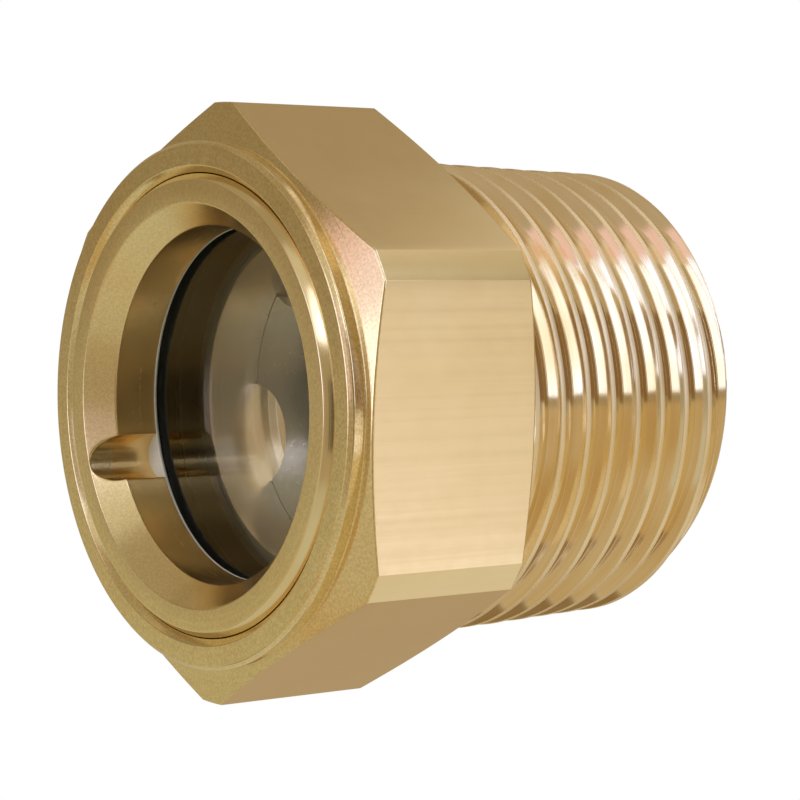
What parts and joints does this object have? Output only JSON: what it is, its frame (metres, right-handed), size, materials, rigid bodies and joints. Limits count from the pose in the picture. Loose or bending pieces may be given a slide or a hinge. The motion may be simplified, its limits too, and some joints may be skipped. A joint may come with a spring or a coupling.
{
  "type": "oil sight glass",
  "caption": "Brass oil sight glass with a hexagon, a round window held by a screwed ring, a notched reflector plate behind the glass and a tapered pipe thread.",
  "frame": {"origin": "where the axis meets the flat shoulder behind the hexagon, at the start of the taper thread", "axes": "+Y along the axis towards the end of the thread, the window looks to -Y, +Z across two corners of the hexagon, +X square to a flat"},
  "size_m": [0.036, 0.0343, 0.0404],
  "materials": {
    "body_brass": "machined",
    "ring_brass": "machined",
    "white_washer": "matte",
    "clear_glass": "polished",
    "black_gasket": "matte",
    "reflector_plate": "satin"
  },
  "bodies": {
    "root": {"body": "body_brass", "retaining_ring": "ring_brass", "washer": "white_washer", "sight_glass": "clear_glass", "gasket": "black_gasket", "reflector": "reflector_plate"}
  },
  "joints": []
}
